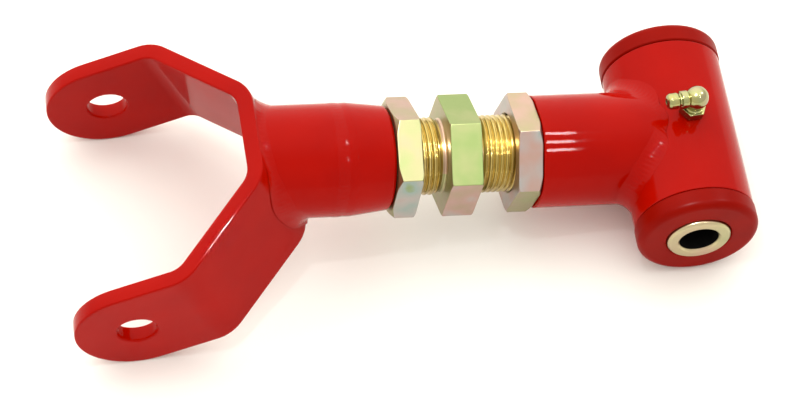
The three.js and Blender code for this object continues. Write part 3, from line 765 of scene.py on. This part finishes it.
def make_adjuster():
    """Hexagon and both threads in one skin: left-handed at the yoke, right-handed at the bushing."""
    left_end, right_end = ADJUSTER_HEX
    left_neck, right_neck = left_end - THREAD_RUNOUT, right_end + THREAD_RUNOUT
    left_tip, right_tip = STUD
    fillet = 0.6  # between the neck and the hexagon
    tip = 1  # chamfer at each end

    def contour(angle):
        reach = hexagon_reach(angle, ADJUSTER_TURN)
        outside = hexagon_contour(left_end, right_end, reach, (slightly_turned_down, slightly_turned_down))
        hexagon = eased([
            (left_neck, THREAD_ROOT), (left_end - fillet, THREAD_ROOT), (left_end, THREAD_ROOT + fillet),
            *outside,
            (right_end, THREAD_ROOT + fillet), (right_end + fillet, THREAD_ROOT), (right_neck, THREAD_ROOT),
        ], MACHINED_EDGE)
        return [
            (left_tip, 0), (left_tip, THREAD_ROOT - tip), (left_tip + tip, THREAD_ROOT),
            *thread_rows(left_tip + tip, left_neck, -1, angle),
            *hexagon,
            *thread_rows(right_neck, right_tip - tip, 1, angle),
            (right_tip - tip, THREAD_ROOT), (right_tip, THREAD_ROOT - tip), (right_tip, 0),
        ]

    return wrapped(contour, hexagon_angles(ADJUSTER_TURN, 12))


stud = make_adjuster()
adjuster = finish_piece(stud, "adjuster_piece", "adjuster", ["adjuster_stud"], thread_zinc)
adjuster.data.materials.append(nut_zinc)
adjuster.data.materials.append(sleeve_zinc)
ON_HEXAGON, ON_NECK = 1, 2  # the material slots just added
for polygon in adjuster.data.polygons:
    centre = FROM_ROW @ polygon.center
    past = max(ADJUSTER_HEX[0] - centre.x, centre.x - ADJUSTER_HEX[1])  # how far past the hexagon's ends
    if past < 0.01:
        polygon.material_index = ON_HEXAGON
    elif past < THREAD_RUNOUT:
        polygon.material_index = ON_NECK
dip(adjuster, ADJUSTER_TURN, ADJUSTER_BATH)


# ---- bushing end -------------------------------------------------------------------------------------------
def make_stub_tube():
    """A thick tube with a threaded bore, its far end cut to the bushing shell's outside."""
    bore = THREAD_RADIUS + THREAD_ROOM

    def end(radius, angle):
        return -sqrt(SHELL_RADIUS ** 2 - (radius * cos(angle)) ** 2) - WELD_GAP

    def contour(angle):
        return eased([
            (STUB_END + BORE_JOIN, bore), (STUB_END + BORE_MOUTH, bore), (STUB_END, bore + BORE_MOUTH),
            (STUB_END, TUBE_RADIUS), (end(TUBE_RADIUS, angle), TUBE_RADIUS), (end(bore, angle), bore),
            (STUB_END + BORE_JOIN, bore),
        ], 0.4)

    return wrapped(contour, even_angles(FINE))


finish_piece(make_stub_tube(), "stub_tube_piece", "bushing_end", ["stub_tube"], powder_coat)


def make_shell():
    inner = SHELL_RADIUS - SHELL_WALL
    return wrapped(lambda angle: eased([
        (0, inner), (SHELL_HALF, inner), (SHELL_HALF, SHELL_RADIUS), (-SHELL_HALF, SHELL_RADIUS),
        (-SHELL_HALF, inner), (0, inner),
    ], 0.5), even_angles(FINE), "Y")


finish_piece(make_shell(), "shell", "bushing_end", ["bushing_shell"], powder_coat)


def make_bushing_half(side):
    """A barrel inside the shell and a flange over its end, which has a well rounded rim."""
    bore = SLEEVE_RADIUS + SLEEVE_ROOM
    barrel = SHELL_RADIUS - SHELL_WALL - BARREL_ROOM
    seat = SHELL_HALF + FLANGE_ROOM
    middle = extent("rear_bushing_half")[0].y
    rim = 3  # rounding of the flange
    heel = 0.5  # chamfer where the flange meets the shell
    mouth = 0.8
    quarter = [pi / 2 * i / 10 for i in range(11)]
    contour = eased([
        (middle, bore), (middle, barrel), (seat, barrel), (seat, FLANGE_RADIUS - heel),
        (seat + heel, FLANGE_RADIUS),
    ], 0.3)
    contour += [(FLANGE_FACE - rim + rim * sin(a), FLANGE_RADIUS - rim + rim * cos(a)) for a in quarter]
    contour += eased([
        (FLANGE_FACE, FLANGE_RADIUS - rim - 0.2), (FLANGE_FACE, bore + mouth), (FLANGE_FACE - mouth, bore),
        (middle, bore),
    ], 0.4)
    contour = [(side * along, radius) for along, radius in contour]
    return wrapped(lambda angle: contour, even_angles(FINE), "Y")


for side, end in ((-1, "front"), (1, "rear")):
    half = make_bushing_half(side)
    finish_piece(half, f"{end}_bushing", "bushing_end", [f"{end}_bushing_half"], urethane)


def make_sleeve():
    inside, outside = 0.8, 0.9  # chamfers
    end = [
        (SLEEVE_HALF - inside, SLEEVE_BORE_RADIUS), (SLEEVE_HALF, SLEEVE_BORE_RADIUS + inside),
        (SLEEVE_HALF, SLEEVE_RADIUS - outside), (SLEEVE_HALF - outside, SLEEVE_RADIUS),
    ]
    other_end = [(-along, radius) for along, radius in reversed(end)]
    contour = eased([(0, SLEEVE_BORE_RADIUS), *end, *other_end, (0, SLEEVE_BORE_RADIUS)], 0.25)
    return wrapped(lambda angle: contour, even_angles(FINE), "Y")


sleeve = finish_piece(make_sleeve(), "sleeve_piece", "sleeve", ["inner_sleeve"], sleeve_zinc)
# the sleeve's bore gets painted shade: a nearly black material, since little light reaches inside
sleeve.data.materials.append(bore_shade)
for polygon in sleeve.data.polygons:
    centre = FROM_ROW @ polygon.center
    in_bore = Vector((centre.x, centre.z)).length < SLEEVE_BORE_RADIUS + 0.1
    polygon.material_index = int(in_bore and abs(centre.y) < SLEEVE_HALF - 1)

# ---- grease fitting, about its own upright axis, nipple towards -X -----------------------------------------
FITTING_YAW = radians(7)
FITTING_SEAT = Vector((0, 1, SHELL_RADIUS + 0.3))  # just over the shell
FITTING_PLACE = Matrix.Translation(FITTING_SEAT) @ Matrix.Rotation(FITTING_YAW, 4, "Z")
FITTING_HEX_FLATS = 9.5
FITTING_HEX_HEIGHT = 3.6
FITTING_HEX_END = FITTING_HEX_FLATS / sqrt(3) - 0.5  # width left where its corners are turned down
FITTING_STEM_RADIUS = 3
FITTING_STEM_LENGTH = 3  # below the hexagon, inside the shell's wall
FITTING_NECK_RADIUS = 3.5
FITTING_BALL_RADIUS = 4.7
FITTING_BALL_HEIGHT = 8.8
FITTING_EDGE = 0.12
NIPPLE_REACH = 12.7


def make_fitting_body():
    """A short hexagon on a threaded stem, and a ball that the nipple is pressed into."""
    ball_start = asin(FITTING_NECK_RADIUS / FITTING_BALL_RADIUS)
    ball = []
    for i in range(21):
        a = ball_start + (pi - ball_start) * i / 20
        ball.append((FITTING_BALL_HEIGHT - FITTING_BALL_RADIUS * cos(a), FITTING_BALL_RADIUS * sin(a)))
    stem = [(-FITTING_STEM_LENGTH, 0), (-FITTING_STEM_LENGTH, FITTING_STEM_RADIUS), (0, FITTING_STEM_RADIUS)]
    flare = 0.4
    height, radius = FITTING_HEX_HEIGHT, FITTING_NECK_RADIUS
    neck = [(height, radius + flare), (height + flare, radius)]

    def contour(angle):
        reach = hexagon_reach(angle, 0, FITTING_HEX_FLATS, 0.3)
        ends = (FITTING_HEX_END, FITTING_HEX_END)
        hexagon = hexagon_contour(0, FITTING_HEX_HEIGHT, reach, ends, FITTING_EDGE)
        return eased([*stem, *hexagon, *neck, ball[0]], FITTING_EDGE) + ball

    return wrapped(contour, hexagon_angles(0, 8), "Z")


finish_piece(
    make_fitting_body(), "grease_elbow", "bushing_end", ["grease_fitting_body"],
    fitting_zinc, FITTING_PLACE,
)


def make_nipple():
    """Turned nipple: a collar against the ball, a neck for the grease gun's jaws and a hollow head."""
    passage = 1.5  # the check ball and its spring lie in it
    # distances from the ball's middle, with radii
    profile = [
        (9, passage), (3.6, passage), (3.6, 2.9), (4.4, 3.6), (5.2, 3.6), (6.9, 3.6), (7.1, 2.6), (7.7, 2.45),
        (8.5, 3.2), (11.3, 3.2), (12.3, 2.5), (NIPPLE_REACH, 1.4), (NIPPLE_REACH, 0.8), (12.1, 0.8),
        (11.2, passage), (9, passage),
    ]
    contour = [(-along, radius) for along, radius in eased(profile, 0.2)]
    return wrapped(lambda angle: contour, even_angles(SMALL))


NIPPLE_PLACE = FITTING_PLACE @ Matrix.Translation((0, 0, FITTING_BALL_HEIGHT))
finish_piece(
    make_nipple(), "grease_nipple_piece", "bushing_end", ["grease_nipple"],
    fitting_zinc, NIPPLE_PLACE,
)

for node in ("grease_check_ball", "grease_check_spring"):
    frame["nodes"][node].data.materials.clear()
    frame["nodes"][node].data.materials.append(steel)


# ---- floor, camera and light -------------------------------------------------------------------------------
TABLE_HALF = 4  # m
LENS = 155.5  # mm
SENSOR_WIDTH = 36  # mm
CAMERA_AIM = Vector((-3.43, -16.13, 30)) * MM
CAMERA_AZIMUTH = 12.27  # degrees, as are the next two
CAMERA_ELEVATION = 58.71
CAMERA_ROLL = 3.92
CAMERA_DISTANCE = 1.3485  # m
GLOW_CENTRE = (-0.1, 0.65, 0.75)  # where the room is brightest
DIM_GLOW, BRIGHT_GLOW = 1.08, 2.45
TUBE_LAMP_LEANS = (1.5, 17.6, 35.2)  # degrees over the camera
TUBE_LAMP_SIZE = (0.025, 0.127)  # m
TUBE_LAMP_POWER = 1
STREAK_FROM_END = 8.6  # mm, where the tube lamps show on the stub tube
BEAD_LAMP_SIZE = (0.03, 0.03)  # m
SHELL_BEAD_GLINT, SHELL_BEAD_POWER = radians(328), 35  # where round the tube a bead glints, and how strongly
YOKE_BEAD_GLINT, YOKE_BEAD_POWER = radians(345), 8
LAMP_DISTANCE = 1.4  # m


def make_floor():
    """A plain warm white table."""
    material, tree, surface = new_material("white_table")
    shader = add(tree, "BsdfPrincipled", {"Base Color": colour("f5f4f0"), "Roughness": 0.6})
    tree.links.new(shader.outputs["BSDF"], surface)
    mesh = bmesh.new()
    bmesh.ops.create_grid(mesh, x_segments=1, y_segments=1, size=TABLE_HALF)
    data = bpy.data.meshes.new("table")
    mesh.to_mesh(data)
    mesh.free()
    data.materials.append(material)
    table = bpy.data.objects.new("table", data)
    bpy.context.scene.collection.objects.link(table)


def make_camera():
    """A long lens that looks down at the arm. Azimuth 0 looks along +Y, 90 along +X."""
    azimuth = Matrix.Rotation(radians(-CAMERA_AZIMUTH), 4, "Z")
    tilt = Matrix.Rotation(radians(90 - CAMERA_ELEVATION), 4, "X")
    roll = Matrix.Rotation(radians(CAMERA_ROLL), 4, "Z")
    back = Matrix.Translation((0, 0, CAMERA_DISTANCE))
    camera = bpy.data.objects.new("camera", bpy.data.cameras.new("camera"))
    camera.data.lens = LENS
    camera.data.sensor_width = SENSOR_WIDTH
    camera.matrix_world = Matrix.Translation(CAMERA_AIM) @ azimuth @ tilt @ roll @ back
    bpy.context.scene.collection.objects.link(camera)
    bpy.context.scene.camera = camera


def make_lamp(name, size, power, place):
    """A rectangular lamp."""
    lamp = bpy.data.lights.new(name, "AREA")
    lamp.shape = "RECTANGLE"
    lamp.size, lamp.size_y = size
    lamp.energy = power
    holder = bpy.data.objects.new(name, lamp)
    holder.matrix_world = place
    holder.visible_diffuse = False  # it shows only in gloss
    bpy.context.scene.collection.objects.link(holder)


def make_room():
    """A pale room, brighter above and behind the arm, so that its shadow falls softly to the front."""
    world = bpy.data.worlds.new("room")
    world.use_nodes = True
    tree = world.node_tree
    way = add(tree, "TexCoord").outputs["Generated"]
    towards = add(tree, "VectorMath", {0: way, 1: GLOW_CENTRE}, operation="DOT_PRODUCT")
    glow = add(tree, "MapRange", {
        "Value": towards.outputs["Value"],
        "From Min": 0.2,
        "To Min": DIM_GLOW,
        "To Max": BRIGHT_GLOW,
    }, interpolation_type="SMOOTHSTEP")
    background = tree.nodes["Background"]
    background.inputs["Color"].default_value = colour("fffcf4")
    tree.links.new(glow.outputs["Result"], background.inputs["Strength"])
    bpy.context.scene.world = world


def make_tube_lamps():
    """Three narrow lamps over the camera, which show as streaks in the gloss of the stub tube."""
    along, up = -outboard, (-outboard).cross(bolt_axis)
    streak = ARM @ Vector((STUB_END + STREAK_FROM_END, 0, 0))
    to_camera = (bpy.context.scene.camera.matrix_world.translation - streak).normalized()
    skew = -to_camera.dot(along)
    camera_lean = atan2(-to_camera.dot(bolt_axis), to_camera.dot(up))
    for number, lean in enumerate(TUBE_LAMP_LEANS):
        lean = camera_lean - radians(lean)
        across = up * cos(lean) - bolt_axis * sin(lean)
        way = across * sqrt(1 - skew ** 2) + along * skew
        side = (along - way * along.dot(way)).normalized()
        turn = Matrix((side, way.cross(side), way)).transposed().to_4x4()
        place = Matrix.Translation(streak + across * TUBE_RADIUS * MM + way * LAMP_DISTANCE) @ turn
        make_lamp(f"tube_lamp_{number}", TUBE_LAMP_SIZE, TUBE_LAMP_POWER, place)


def make_bead_lamp(name, joint, angle, power):
    """A small lamp that glints in the middle of a bead's face, at an angle round the tube."""
    root, first, second, out = joint(angle)
    nudge = 0.01
    ahead = joint(angle + nudge)[0] - joint(angle - nudge)[0]
    faces = ahead.cross(second - first)
    faces *= 1 if faces.dot(out) > 0 else -1
    spot = ARM @ root
    normal = (ARM.to_3x3() @ faces).normalized()
    to_camera = (bpy.context.scene.camera.matrix_world.translation - spot).normalized()
    way = 2 * normal * normal.dot(to_camera) - to_camera
    side = way.orthogonal().normalized()
    turn = Matrix((side, way.cross(side), way)).transposed().to_4x4()
    make_lamp(name, BEAD_LAMP_SIZE, power, Matrix.Translation(spot + way * LAMP_DISTANCE) @ turn)


bpy.context.scene.view_settings.view_transform = "Standard"
make_floor()
make_camera()
make_room()
make_tube_lamps()
make_bead_lamp("shell_bead_lamp", shell_joint, SHELL_BEAD_GLINT, SHELL_BEAD_POWER)
make_bead_lamp("yoke_bead_lamp", yoke_joint, YOKE_BEAD_GLINT, YOKE_BEAD_POWER)
